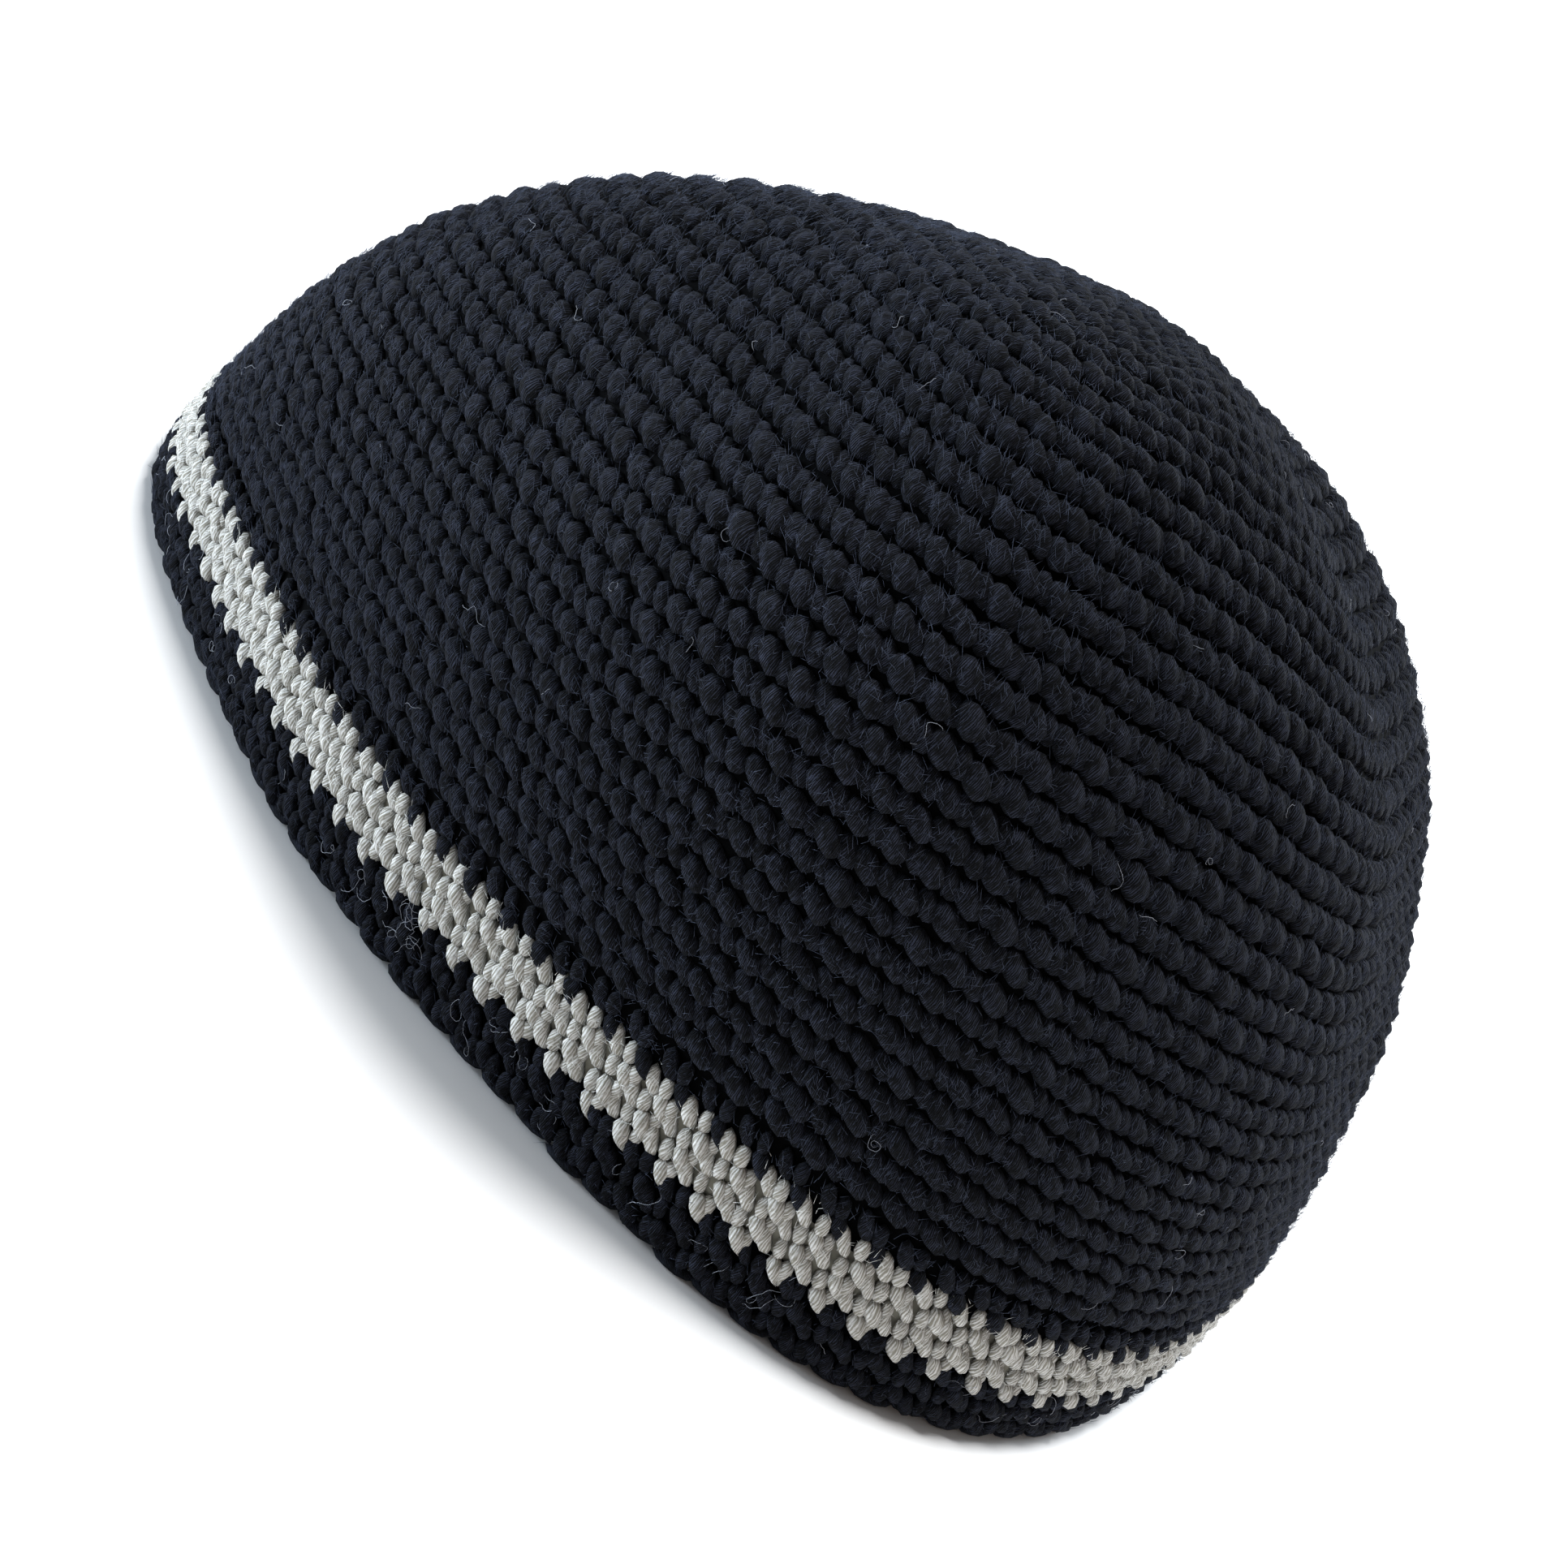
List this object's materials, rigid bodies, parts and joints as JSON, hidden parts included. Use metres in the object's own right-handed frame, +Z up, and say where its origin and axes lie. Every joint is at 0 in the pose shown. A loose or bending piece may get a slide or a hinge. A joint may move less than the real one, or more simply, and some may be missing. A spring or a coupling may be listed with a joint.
{
  "type": "crocheted skull cap",
  "caption": "Close-fitting crocheted skull cap: a soft, slightly dented dome of dark single crochet with a white stripe just above the brim. It stands on its brim and is open below.",
  "frame": {"origin": "in the plane that the brim stands on, below the centre of the cap's bounding box", "axes": "+Z up through the crown; -Y towards the side that the picture shows; +X to that side's right"},
  "size_m": [0.189, 0.172, 0.108],
  "materials": {
    "navy_yarn": "soft matt navy-black cotton yarn, crocheted, slightly fuzzy",
    "white_yarn": "soft matt cream-white cotton yarn, crocheted"
  },
  "bodies": {
    "root": {"crown": "navy_yarn", "stripe": "white_yarn", "brim": "navy_yarn"}
  },
  "joints": []
}
